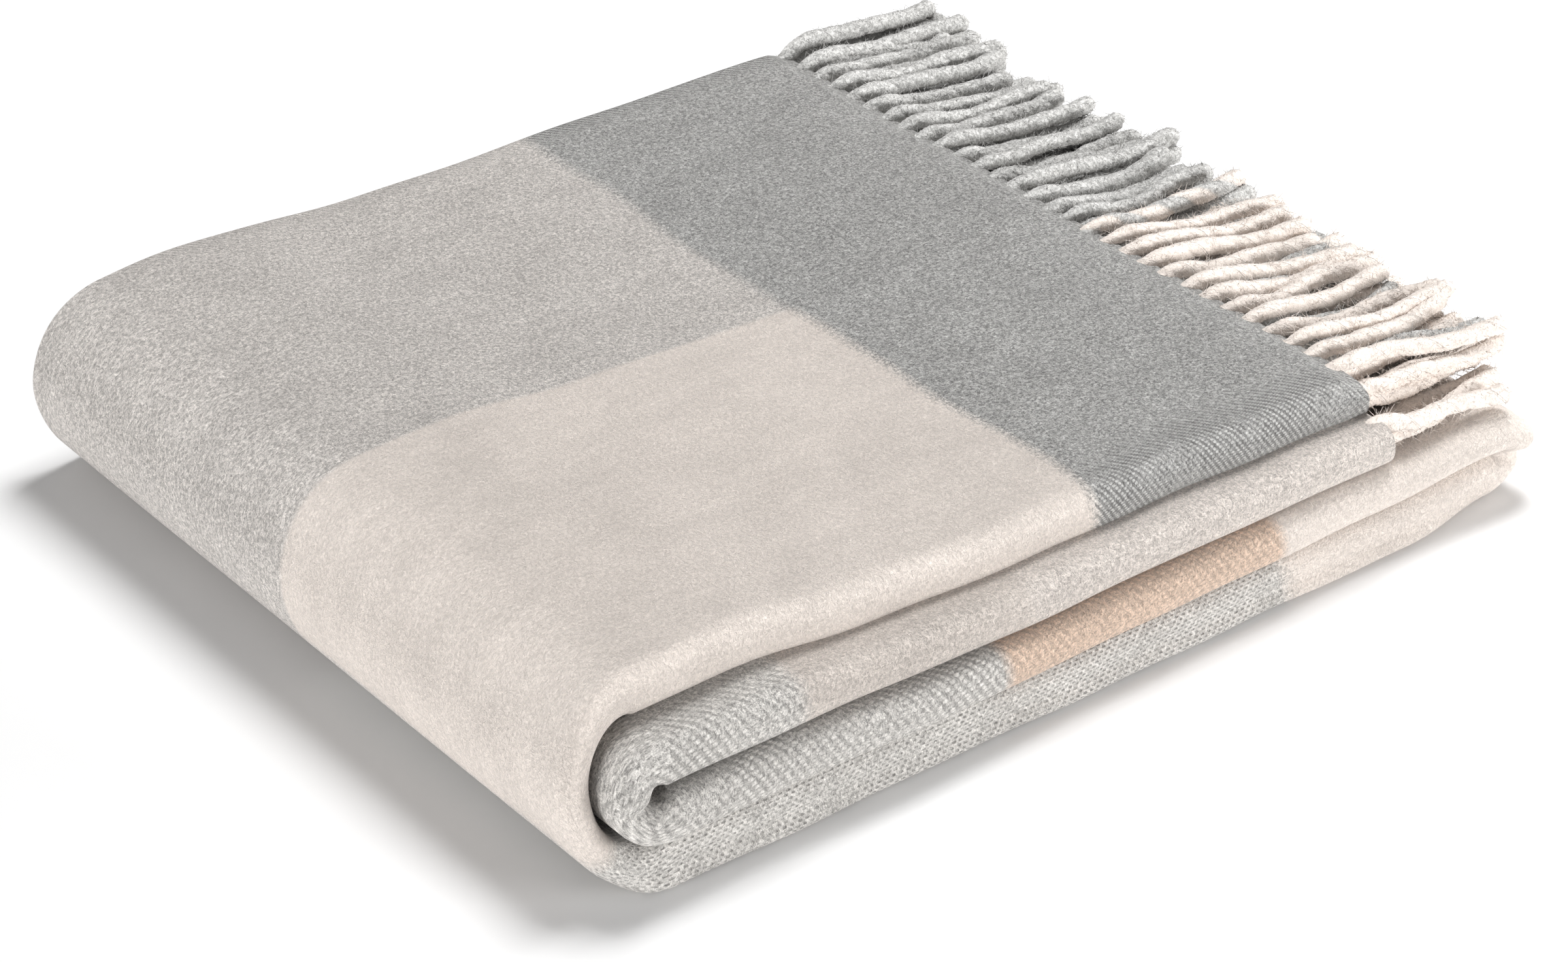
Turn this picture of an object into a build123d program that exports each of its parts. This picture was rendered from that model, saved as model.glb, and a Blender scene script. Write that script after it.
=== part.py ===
from build123d import *
import math
import os

# A woollen throw, folded for display: first in thirds across its width, then in half twice
# along its length. The result is four strips on top of each other, each three layers of cloth
# thick, joined by three rounded folds, with both fringed ends at +X.
#
# +X runs along the folded strips towards the fringe, +Y to the back, +Z up. The origin is at
# the bottom centre of the folded throw. Everything is in millimetres.

os.makedirs("parts", exist_ok=True)

# ---- driving dimensions ----
STACK_HEIGHT = 80.0        # four strips, resting on a table
FOLDED_WIDTH = 430.0       # one third of the cloth's width
FRINGE_ROOT = 410.0        # from the left fold's outside to the fringed ends
RIGHT_FOLD_CENTRE = 470.0  # from the left fold's outside to the middle of the right fold
FRINGE_LENGTH = 100.0
CLOTH_THICKNESS = 6.1      # one layer with its nap and the air trapped in it
STRIP_GAP = 0.45           # between strips that belong to the same half
HALF_GAP = 0.3             # between the halves that open, at their faces and at their ends
SELVEDGE_INSET = 4.0       # how far a free side edge stops short of the fold beside it

TASSEL_DIAMETER = 7.4
TASSEL_PITCH = 14.2
TASSEL_COUNT = 30
LOWEST_TASSEL_RISE = 4.5   # of the lowest row above the middle of the stack
TASSEL_ROW_RISE = 6.3      # from one row to the next at the cloth's end
TIP_ROW_RISE = 3.8         # the same at the tips, where the rows settle on each other
LOWEST_TIP_DROP = 1.5
TASSEL_STRAIGHT = 38.0     # length before a tassel starts to droop

# ---- derived ----
TOTAL_LENGTH = FRINGE_ROOT + FRINGE_LENGTH
LEFT_END = -TOTAL_LENGTH / 2
FRONT = -FOLDED_WIDTH / 2
MIDDLE = STACK_HEIGHT / 2
HINGE_X = LEFT_END + MIDDLE
STRIP_THICKNESS = (STACK_HEIGHT - 2 * STRIP_GAP - HALF_GAP) / 4
LAYER_PITCH = (STRIP_THICKNESS - CLOTH_THICKNESS) / 2


def half_ring(y, z, outer, inner, towards):
    """Half of a flat ring about (y, z), on the side that towards (-1 or +1) points to along Y."""
    ring = Circle(outer)
    if inner > 0:
        ring -= Circle(inner)
    side = Pos(towards * outer, 0) * Rectangle(2 * outer, 4 * outer)
    return Pos(y, z) * (ring & side)


def layer(y_from, y_to, z_bottom):
    """One flat layer of cloth, as a rectangle in the strip's cross-section."""
    return Pos((y_from + y_to) / 2, z_bottom + CLOTH_THICKNESS / 2) * Rectangle(
        y_to - y_from, CLOTH_THICKNESS
    )


def strip_section(base, middle_third_up):
    """Cross-section of a strip folded in thirds, standing base above the YZ plane's Y axis.

    The cloth's middle third is on one face. The front third folds under it at the front edge,
    round the back third, which folds under it at the back edge.
    """
    top = STRIP_THICKNESS - CLOTH_THICKNESS
    front_radius = STRIP_THICKNESS / 2
    back_radius = (LAYER_PITCH + CLOTH_THICKNESS) / 2
    back = FRONT + FOLDED_WIDTH
    middle_third = layer(FRONT + front_radius, back - back_radius, top)
    front_third = layer(FRONT + front_radius, back - SELVEDGE_INSET, 0)
    back_third = layer(FRONT + front_radius + SELVEDGE_INSET, back - back_radius, LAYER_PITCH)
    front_fold = half_ring(
        FRONT + front_radius, front_radius, front_radius, front_radius - CLOTH_THICKNESS, -1
    )
    back_fold = half_ring(
        back - back_radius,
        LAYER_PITCH + back_radius,
        back_radius,
        back_radius - CLOTH_THICKNESS,
        1,
    )
    section = middle_third + front_third + back_third + front_fold + back_fold
    if not middle_third_up:
        section = Pos(0, STRIP_THICKNESS) * section.mirror(Plane.XZ)
    return Pos(0, base) * section


def strip(x_from, x_to, base, middle_third_up):
    """A straight strip between two places along X."""
    section = Plane.YZ.offset(x_from) * strip_section(base, middle_third_up)
    return extrude(section, x_to - x_from, dir=(1, 0, 0))


def fold(x, z, base, middle_third_up, angle):
    """A strip turned half round about the Y direction at (x, z). base is measured from z = 0."""
    section = Plane.YZ.offset(x) * strip_section(base, middle_third_up)
    return revolve(section, Axis((x, 0, z), (0, 1, 0)), angle)


def tassel(drop):
    """One twisted tassel, from the origin along +X, with its tip drop lower than its root."""
    slope = math.atan2(drop, FRINGE_LENGTH - TASSEL_STRAIGHT)
    bend = 0.45 * TASSEL_STRAIGHT / math.tan(slope / 2)
    tip = FRINGE_LENGTH - TASSEL_DIAMETER / 2 * math.sin(slope)
    path = FilletPolyline((0, 0, 0), (TASSEL_STRAIGHT, 0, 0), (tip, 0, -drop), radius=bend)
    return sweep(Plane.YZ * Circle(TASSEL_DIAMETER / 2), path)


def tassel_row(row):
    """The tassels along one layer's end. Rows count up from the lowest one."""
    z_root = MIDDLE + LOWEST_TASSEL_RISE + row * TASSEL_ROW_RISE
    drop = LOWEST_TIP_DROP + row * (TASSEL_ROW_RISE - TIP_ROW_RISE)
    stagger = TASSEL_PITCH / 4 if row % 2 else -TASSEL_PITCH / 4
    first = -(TASSEL_COUNT - 1) * TASSEL_PITCH / 2 + stagger
    one = tassel(drop)
    tassels = []
    for index in range(TASSEL_COUNT):
        place = Pos(LEFT_END + FRINGE_ROOT, first + index * TASSEL_PITCH, z_root)
        tassels.append(place * one)
    return Compound(children=tassels)


def cloth_parts():
    """The four strips and the three folds that join them, by name."""
    root = LEFT_END + FRINGE_ROOT
    turn = LEFT_END + RIGHT_FOLD_CENTRE
    upper_outer = STACK_HEIGHT - STRIP_THICKNESS
    upper_inner = MIDDLE + HALF_GAP / 2
    lower_inner = MIDDLE - HALF_GAP / 2 - STRIP_THICKNESS
    right_fold_middle = (STRIP_THICKNESS + lower_inner) / 2
    return {
        "top_quarter": strip(HINGE_X + HALF_GAP, root, upper_outer, True),
        "second_quarter": strip(HINGE_X + HALF_GAP, root, upper_inner, False),
        "third_quarter": strip(HINGE_X, turn, lower_inner, True),
        "bottom_quarter": strip(HINGE_X, turn, 0, False),
        "outer_left_fold": fold(HINGE_X, MIDDLE, upper_outer, True, -180),
        "inner_left_fold": fold(HINGE_X, MIDDLE, upper_inner, False, -180),
        "right_fold": fold(turn, right_fold_middle, lower_inner, True, 180),
    }


def fringe_parts():
    """Six rows of tassels: one for each layer of the two strips that end at the fringe."""
    names = [
        "second_fringe_middle_third",
        "second_fringe_back_third",
        "second_fringe_front_third",
        "top_fringe_front_third",
        "top_fringe_back_third",
        "top_fringe_middle_third",
    ]
    return {name: tassel_row(row) for row, name in enumerate(names)}


if __name__ == "__main__":
    parts = {**cloth_parts(), **fringe_parts()}
    for node, shape in parts.items():
        export_step(shape, f"parts/{node}.step")
        box = shape.bounding_box()
        print(node, "solids", len(shape.solids()), "from", box.min, "to", box.max)
    print("hinge axis at x", HINGE_X, "z", MIDDLE)
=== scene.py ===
import math

import bpy
import numpy as np
from bpy.props import FloatProperty, FloatVectorProperty, IntProperty, PointerProperty
from mathutils import Matrix, Vector


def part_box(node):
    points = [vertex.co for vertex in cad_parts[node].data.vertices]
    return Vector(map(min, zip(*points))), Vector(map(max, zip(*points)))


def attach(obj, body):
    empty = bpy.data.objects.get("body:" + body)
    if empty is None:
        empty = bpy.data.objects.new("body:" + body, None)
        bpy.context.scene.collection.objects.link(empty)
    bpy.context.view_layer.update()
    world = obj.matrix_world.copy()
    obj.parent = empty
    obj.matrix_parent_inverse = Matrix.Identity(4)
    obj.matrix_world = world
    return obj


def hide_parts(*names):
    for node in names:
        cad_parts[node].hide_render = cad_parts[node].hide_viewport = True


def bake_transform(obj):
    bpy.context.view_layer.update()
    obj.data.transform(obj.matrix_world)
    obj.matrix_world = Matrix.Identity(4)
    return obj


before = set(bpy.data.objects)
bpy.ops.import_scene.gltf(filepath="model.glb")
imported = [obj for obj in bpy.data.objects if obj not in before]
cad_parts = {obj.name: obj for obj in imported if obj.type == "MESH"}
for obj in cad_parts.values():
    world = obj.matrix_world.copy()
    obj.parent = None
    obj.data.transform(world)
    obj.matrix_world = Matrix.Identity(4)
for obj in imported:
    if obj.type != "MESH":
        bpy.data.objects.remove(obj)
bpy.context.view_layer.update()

bl_info = {
    "name": "Folded Wool Throw",
    "version": (1, 0, 0),
    "blender": (4, 5, 0),
    "location": "View3D > Sidebar > Throw",
    "description": "Builds a folded wool throw with a twisted fringe around its fixed frame",
    "category": "Object",
}

# ---------------------------------------------------------------------------
# Sizes read from the frame, in metres
# ---------------------------------------------------------------------------


def box_middle(node):
    """The middle of a node's box at rest."""
    low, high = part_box(node)
    return (low + high) / 2


TOP_LOW, TOP_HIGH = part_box("top_quarter")
BOTTOM_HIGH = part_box("bottom_quarter")[1]
OUTER_FOLD_LOW, OUTER_FOLD_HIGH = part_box("outer_left_fold")

LEFT_X = OUTER_FOLD_LOW.x
HINGE_X = OUTER_FOLD_HIGH.x
FRINGE_X = TOP_HIGH.x
TURN_X = BOTTOM_HIGH.x
FRONT_Y = TOP_LOW.y
BACK_Y = TOP_HIGH.y
WIDTH = BACK_Y - FRONT_Y
HEIGHT = OUTER_FOLD_HIGH.z
MIDDLE_Z = HEIGHT / 2
STRIP = TOP_HIGH.z - TOP_LOW.z
QUARTERS = ("top_quarter", "second_quarter", "third_quarter", "bottom_quarter")
LEVELS = [box_middle(node).z for node in QUARTERS]

# The cloth's line along its length: distance from the top fringe, at each change of direction.
STRAIGHT_UPPER = FRINGE_X - HINGE_X
STRAIGHT_LOWER = TURN_X - HINGE_X
OUTER_RADIUS = (LEVELS[0] - LEVELS[3]) / 2
INNER_RADIUS = (LEVELS[1] - LEVELS[2]) / 2
RIGHT_RADIUS = (LEVELS[2] - LEVELS[3]) / 2
STRETCHES = {}
_along = 0.0
for _name, _length in (
    ("top_quarter", STRAIGHT_UPPER),
    ("outer_left_fold", math.pi * OUTER_RADIUS),
    ("bottom_quarter", STRAIGHT_LOWER),
    ("right_fold", math.pi * RIGHT_RADIUS),
    ("third_quarter", STRAIGHT_LOWER),
    ("inner_left_fold", math.pi * INNER_RADIUS),
    ("second_quarter", STRAIGHT_UPPER),
):
    STRETCHES[_name] = (_along, _along + _length)
    _along += _length
CLOTH_LENGTH = _along
# The inner left fold is fuller than a half circle, so its cloth is a little longer than the even fold's.
INNER_BULGE = 0.0060
# How much thinner the strip is pressed at the middle of the two left folds.
OUTER_SQUEEZE = 0.34
INNER_SQUEEZE = 0.27

# Where the weft changes colour, as distances along the cloth from the top fringe.
DARK_END = 0.147
CREAM_END = 0.436
LIGHT_END = 0.775
SECOND_CREAM_END = 1.054
TAN_END = 1.197
SECOND_LIGHT_END = 1.450
THIRD_CREAM_END = 1.560
# Where the warp changes from cream (front) to grey (back), across the cloth.
WARP_CHANGE = WIDTH + 0.212


# ---------------------------------------------------------------------------
# Settings that a user would change
# ---------------------------------------------------------------------------

class ThrowClothSettings(bpy.types.PropertyGroup):
    """The woven cloth."""
    thickness: FloatProperty(
        name="Cloth thickness", description="One layer of cloth with its nap",
        default=0.0046, min=0.001, max=0.006, unit="LENGTH")
    rib_scale: FloatProperty(
        name="Twill rib scale", description="Makes the twill's ribs coarser or finer",
        default=1.0, min=0.2, max=4.0)
    end_share: FloatProperty(
        name="Warp yarn pitch", description="Distance between two warp yarns, as a share of the rib pitch",
        default=0.31, min=0.1, max=1.0)
    rib_depth: FloatProperty(
        name="Twill rib depth", description="Height of the twill's ribs where the nap is thin",
        default=0.0006, min=0.0, max=0.002, unit="LENGTH")
    nap_depth: FloatProperty(
        name="Nap depth", description="Height of the brushed nap's unevenness",
        default=0.0010, min=0.0, max=0.003, unit="LENGTH")
    dark_grey: FloatVectorProperty(
        name="Dark grey", description="Melange weft of the end band",
        default=(0.34, 0.337, 0.328), subtype="COLOR", min=0, max=1)
    light_grey: FloatVectorProperty(
        name="Light grey", description="Cream weft on grey warp",
        default=(0.555, 0.520, 0.492), subtype="COLOR", min=0, max=1)
    silver_grey: FloatVectorProperty(
        name="Silver grey", description="Light grey weft on cream warp",
        default=(0.525, 0.505, 0.480), subtype="COLOR", min=0, max=1)
    cream: FloatVectorProperty(
        name="Cream", description="Cream weft on cream warp",
        default=(0.800, 0.720, 0.660), subtype="COLOR", min=0, max=1)
    tan: FloatVectorProperty(
        name="Tan", description="Camel weft on cream warp",
        default=(0.640, 0.480, 0.375), subtype="COLOR", min=0, max=1)
    oatmeal: FloatVectorProperty(
        name="Oatmeal", description="Pale weft of the other end band on cream warp",
        default=(0.600, 0.545, 0.505), subtype="COLOR", min=0, max=1)


class ThrowFringeSettings(bpy.types.PropertyGroup):
    """The twisted tassels along both ends."""
    count: IntProperty(
        name="Tassels in a row", description="Tassels along one layer's end",
        default=30, min=2, max=60)
    diameter: FloatProperty(
        name="Tassel diameter", description="Across the widest part of the two twisted strands",
        default=0.0086, min=0.002, max=0.015, unit="LENGTH")
    twist_pitch: FloatProperty(
        name="Twist pitch", description="Length of one full turn of the strands",
        default=0.026, min=0.005, max=0.1, unit="LENGTH")
    spread: FloatProperty(
        name="Spread", description="How far a tassel's tip strays along the end",
        default=0.0135, min=0.0, max=0.04, unit="LENGTH")
    fibres: FloatProperty(
        name="Loose fibres", description="Fine fibres standing off each square metre of yarn",
        default=130000.0, min=0.0, max=400000.0)
    seed: IntProperty(name="Seed", description="Order of the tassels' small differences", default=7, min=0)


class ThrowStageSettings(bpy.types.PropertyGroup):
    """Floor, lights and camera."""
    floor_colour: FloatVectorProperty(
        name="Floor colour", description="Pale seamless floor",
        default=(0.93, 0.93, 0.93), subtype="COLOR", min=0, max=1)
    key_power: FloatProperty(
        name="Key light", description="Power of the large soft light above the throw",
        default=46.0, min=0.0, unit="POWER")
    fill_strength: FloatProperty(
        name="Surround light", description="Strength of the even light from all sides", default=0.22, min=0.0)


# ---------------------------------------------------------------------------
# Shapes
# ---------------------------------------------------------------------------

def smooth_step(value, low, high):
    """0 up to low, 1 from high, and smooth between."""
    share = np.clip((value - low) / (high - low), 0.0, 1.0)
    return share * share * (3 - 2 * share)


def hump(value, middle, reach):
    """A rounded hump of height 1."""
    return np.exp(-((value - middle) / reach) ** 2)


def ripple(first, second, scale, seed):
    """Smooth unevenness from -1 to 1, made of a few waves about scale long."""
    chance = np.random.default_rng(seed)
    waves = 7
    total = 0.0
    for _ in range(waves):
        heading = chance.uniform(0, 2 * math.pi)
        count = 2 * math.pi / (scale * chance.uniform(0.6, 1.5))
        phase = chance.uniform(0, 2 * math.pi)
        total = total + np.sin(count * (first * math.cos(heading) + second * math.sin(heading)) + phase)
    return total / math.sqrt(2 * waves)


def centre_line(name, share):
    """Middle of a stretch of the folded strip: x, z, and the way its smooth face looks, at each share."""
    zero, one = np.zeros_like(share), np.ones_like(share)
    if name == "top_quarter":
        return FRINGE_X + share * (HINGE_X - FRINGE_X), LEVELS[0] * one, zero, one
    if name == "second_quarter":
        return HINGE_X + share * (FRINGE_X - HINGE_X), LEVELS[1] * one, zero, -one
    if name == "third_quarter":
        return TURN_X + share * (HINGE_X - TURN_X), LEVELS[2] * one, zero, one
    if name == "bottom_quarter":
        return HINGE_X + share * (TURN_X - HINGE_X), LEVELS[3] * one, zero, -one
    if name == "right_fold":
        angle = math.pi * (share - 0.5)
        across, up = np.cos(angle), np.sin(angle)
        middle = (LEVELS[2] + LEVELS[3]) / 2
        return TURN_X + RIGHT_RADIUS * across, middle + RIGHT_RADIUS * up, across, up
    if name == "outer_left_fold":
        angle = math.pi * (0.5 + share)
        across, up = np.cos(angle), np.sin(angle)
        fullness = 1.0 - 0.20 * smooth_step(-up, -0.2, 0.6)
        bulged = -np.abs(across) ** fullness
        return HINGE_X + OUTER_RADIUS * bulged, MIDDLE_Z + OUTER_RADIUS * up, bulged, up
    angle = math.pi * (1.5 - share)
    across, up = np.cos(angle), np.sin(angle)
    return HINGE_X + INNER_RADIUS * across, MIDDLE_Z + INNER_RADIUS * up, -across, -up


def spaced(start, end, fine, coarse):
    """Values from start to end, fine apart at the ends and coarse apart in the middle."""
    length = abs(end - start)
    count = max(int(length / coarse), 4)
    share = np.linspace(0, 1, count + 1)
    crowding = math.copysign(1, coarse - fine) * (1 - fine / coarse)
    eased = share - crowding * np.sin(2 * math.pi * share) / (2 * math.pi)
    return start + (end - start) * eased


class Section:
    """Cross-section of the strip: the cloth folded in thirds, as points along its width.

    y is across the strip, out is the height above the strip's middle, towards its smooth face.
    across is the distance along the cloth's width, and edge is 1 at the front and back folds.
    """

    def __init__(self, thickness, fine, coarse):
        half = (STRIP - thickness) / 2
        squareness = 0.86
        front_middle = FRONT_Y + STRIP / 2
        back_radius = half / 2
        back_middle = BACK_Y - thickness / 2 - back_radius
        inset = 0.004
        y, out = [], []

        def add(new_y, new_out):
            start = 1 if y else 0
            y.extend(new_y[start:])
            out.extend(new_out[start:])

        flap = spaced(BACK_Y - inset, front_middle, fine, coarse * 2)
        add(flap, np.full_like(flap, -half))
        turn = np.linspace(-math.pi / 2, math.pi / 2, 21)
        add(
            front_middle - half * np.abs(np.cos(turn)) ** squareness,
            half * np.sign(turn) * np.abs(np.sin(turn)) ** squareness,
        )
        face = spaced(front_middle, back_middle, fine, coarse)
        add(face, np.full_like(face, half))
        turn = np.linspace(math.pi / 2, -math.pi / 2, 11)
        add(back_middle + back_radius * np.cos(turn), half / 2 + back_radius * np.sin(turn))
        flap = spaced(back_middle, FRONT_Y + STRIP / 2 + inset, fine, coarse * 2)
        add(flap, np.zeros_like(flap))
        self.y, self.out = np.array(y), np.array(out)
        self.thickness = thickness
        step_y, step_out = np.gradient(self.y), np.gradient(self.out)
        size = np.hypot(step_y, step_out)
        self.normal_y, self.normal_out = -step_out / size, step_y / size
        lengths = np.hypot(np.diff(self.y), np.diff(self.out))
        across = np.concatenate([[0], np.cumsum(lengths)])
        on_face = int(np.argmin(np.abs(self.y - front_middle) + np.abs(self.out - half)))
        self.across = across - across[on_face] + WIDTH + front_middle - FRONT_Y
        near_front = 1 - smooth_step(self.y, FRONT_Y + 0.010, FRONT_Y + 0.034)
        near_back = smooth_step(self.y, BACK_Y - 0.020, BACK_Y - 0.006)
        self.edge = np.maximum(near_front, near_back)


# Where the front edge of the strip lies behind (+) or before (-) the even fold, by stretch, in metres.
FRONT_SHIFT = (
    ("top_quarter", 0.020, 0.021),
    ("outer_left_fold", 0.021, 0.0),
    ("bottom_quarter", 0.0, 0.001),
    ("right_fold", 0.001, 0.0),
    ("third_quarter", 0.0, -0.007),
    ("inner_left_fold", -0.007, 0.0),
    ("second_quarter", 0.0, 0.003),
)


def front_shift(name, share):
    """How far back the front edge lies, along a stretch."""
    for other, start, end in FRONT_SHIFT:
        if other == name:
            return start + (end - start) * smooth_step(share, 0.0, 1.0)
    return np.zeros_like(share)


def settle(x, y, z):
    """The whole stack's unevenness: fuller by its folds, and sunk in the middle. It only scales heights."""
    by_left_fold = 0.075 * hump(x, LEFT_X + 0.085, 0.055)
    sunk = -0.055 * hump(x, LEFT_X + 0.275, 0.11) * hump(y, 0.0, 0.19)
    by_fringe = -0.035 * hump(x, FRINGE_X + 0.005, 0.030)
    by_right_fold = 0.05 * hump(x, TURN_X, 0.030)
    uneven = 0.010 * ripple(x, y, 0.16, 3) + 0.004 * ripple(x, y, 0.05, 4)
    inside_lower = np.sin(math.pi * np.clip(z / MIDDLE_Z, 0, 1))
    crease_rise = 0.0022 * smooth_step(x, TURN_X - 0.075, TURN_X - 0.004) * inside_lower
    z = z + crease_rise
    end_droop = 0.0042 * smooth_step(x, FRINGE_X - 0.012, FRINGE_X + 0.001) * smooth_step(z, 0.066, 0.078)
    z = z - end_droop
    return z * (1 + by_left_fold + sunk + by_fringe + by_right_fold + uneven)


def place(name, share, y, out):
    """Points of the folded strip. share runs along the stretch; y and out are in the cross-section."""
    x, z, look_x, look_z = centre_line(name, share)
    if name == "outer_left_fold":
        squeeze = OUTER_SQUEEZE * np.sin(math.pi * share) ** 0.7
        out = STRIP / 2 - (STRIP / 2 - out) * (1 - squeeze)
    if name == "inner_left_fold":
        squeeze = INNER_SQUEEZE * np.sin(math.pi * share)
        out = -STRIP / 2 + (STRIP / 2 + out) * (1 - squeeze)
    shift = front_shift(name, share) + 0.0009 * ripple(x, z * 3, 0.09, 11)
    back_shift = 0.0012 * ripple(x, z * 3, 0.11, 12)
    reach = (y - FRONT_Y) / WIDTH
    placed_y = y + shift * (1 - reach) + back_shift * reach
    placed_x = x + look_x * out
    placed_z = z + look_z * out
    near_front = np.exp(-np.maximum(placed_y - FRONT_Y, 0.0) / 0.014)
    if name == "top_quarter":
        front_edge = FRONT_Y + front_shift(name, share)
        by_edge = np.exp(-np.maximum(placed_y - front_edge, 0.0) / 0.016)
        placed_z = placed_z - 0.0038 * by_edge * smooth_step(placed_x, HINGE_X + 0.010, HINGE_X + 0.110)
    if name in ("right_fold", "third_quarter", "bottom_quarter"):
        by_fold = smooth_step(placed_x, TURN_X - 0.050, TURN_X + 0.008)
        beyond = smooth_step(placed_x, TURN_X - 0.010, TURN_X + 0.018)
        above = hump(placed_z, 0.62 * MIDDLE_Z, 0.013)
        pinch = hump(placed_z, MIDDLE_Z / 2 - 0.005 * beyond, 0.0032)
        placed_y = placed_y + by_fold * near_front * (0.0030 - 0.0060 * above + 0.0060 * pinch)
        placed_x = placed_x + beyond * (0.0035 * above - 0.0015)
    if name in ("bottom_quarter", "outer_left_fold"):
        by_front = 1 - smooth_step(placed_y - FRONT_Y, 0.006, 0.022)
        away = 1 - smooth_step(placed_x, TURN_X - 0.060, TURN_X - 0.005)
        placed_y = placed_y - 0.0065 * by_front * away * (1 - smooth_step(placed_z, 0.001, 0.0085))
    if name == "inner_left_fold":
        turned = np.arctan2(placed_z - MIDDLE_Z, HINGE_X - placed_x)
        creased = np.cos(5.0 * turned + 0.8) * np.sin(math.pi * share)
        placed_y = placed_y + 0.0018 * creased * near_front
        placed_x = placed_x - INNER_BULGE * np.sin(math.pi * share)
    return placed_x, placed_y, settle(placed_x, placed_y, placed_z)


def make_object(name, points, faces, material):
    """A smooth-shaded mesh object at the origin."""
    mesh = bpy.data.meshes.new(name)
    mesh.from_pydata(points.tolist(), [], faces.tolist())
    mesh.polygons.foreach_set("use_smooth", np.ones(len(mesh.polygons), bool))
    mesh.materials.append(material)
    mesh.update()
    made = bpy.data.objects.new(name, mesh)
    bpy.context.scene.collection.objects.link(made)
    return made


def add_attribute(mesh, name, values):
    """Stores one number for each point of a mesh."""
    attribute = mesh.attributes.new(name, "FLOAT", "POINT")
    attribute.data.foreach_set("value", np.asarray(values, np.float32))


def cloth_stretch(stretch, name, section, step, material, looks):
    """One stretch of the folded strip as a closed sheet with both faces, its edges and its map."""
    start, end = STRETCHES[stretch]
    count = max(int(round((end - start) / step)), 12) + 1
    share = np.linspace(0, 1, count)
    rows = len(section.y)
    faces_out = []
    for side in (1, -1):
        offset = side * section.thickness / 2
        y = section.y + section.normal_y * offset
        out = section.out + section.normal_out * offset
        x, y, z = place(stretch, share[:, None], y[None, :], out[None, :])
        x, y, z = np.broadcast_arrays(x, y, z)
        faces_out.append(np.stack([x, y, z], axis=-1).reshape(-1, 3))
    points = np.concatenate(faces_out)
    index = np.arange(count * rows).reshape(count, rows)
    other = index + count * rows
    a, b, c, d = index[:-1, :-1], index[:-1, 1:], index[1:, 1:], index[1:, :-1]
    face = np.stack([a, b, c, d], axis=-1).reshape(-1, 4)
    back = face[:, ::-1] + count * rows
    rims = []
    for near, far in (
        (index[:, 0], other[:, 0]),
        (index[::-1, -1], other[::-1, -1]),
        (index[0, ::-1], other[0, ::-1]),
        (index[-1, :], other[-1, :]),
    ):
        rims.append(np.stack([near[:-1], near[1:], far[1:], far[:-1]], axis=-1))
    made = make_object(name, points, np.concatenate([face, back, *rims]), material)
    mesh = made.data
    along = np.repeat(start + share * (end - start), rows)
    across = np.tile(section.across, count)
    cloth_map = np.tile(np.stack([along, across], axis=-1), (2, 1))
    corners = np.empty(len(mesh.loops), np.int64)
    mesh.loops.foreach_get("vertex_index", corners)
    layer = mesh.uv_layers.new(name="cloth")
    layer.data.foreach_set("uv", cloth_map[corners].astype(np.float32).ravel())
    add_attribute(mesh, "relief", np.tile(section.edge, 2 * count))
    change_at, (first_knit, first_pitch), (last_knit, last_pitch) = looks
    later = np.tile(np.repeat(share > change_at, rows), 2)
    add_attribute(mesh, "knit", np.where(later, last_knit, first_knit))
    add_attribute(mesh, "rib_pitch", np.where(later, last_pitch, first_pitch))
    sharpen_ends(mesh, count, rows)
    return made


def sharpen_ends(mesh, count, rows):
    """Keeps a stretch's shading apart from its end faces, so that it runs on into the next stretch."""
    ends = np.empty(len(mesh.edges) * 2, np.int64)
    mesh.edges.foreach_get("vertices", ends)
    line = (ends // rows).reshape(-1, 2)
    at_end = np.isin(line, (0, count - 1, count, 2 * count - 1)).all(axis=1) & (line[:, 0] == line[:, 1])
    attribute = mesh.attributes.new("sharp_edge", "BOOLEAN", "EDGE")
    attribute.data.foreach_set("value", at_end)


# ---------------------------------------------------------------------------
# Node trees
# ---------------------------------------------------------------------------

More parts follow.
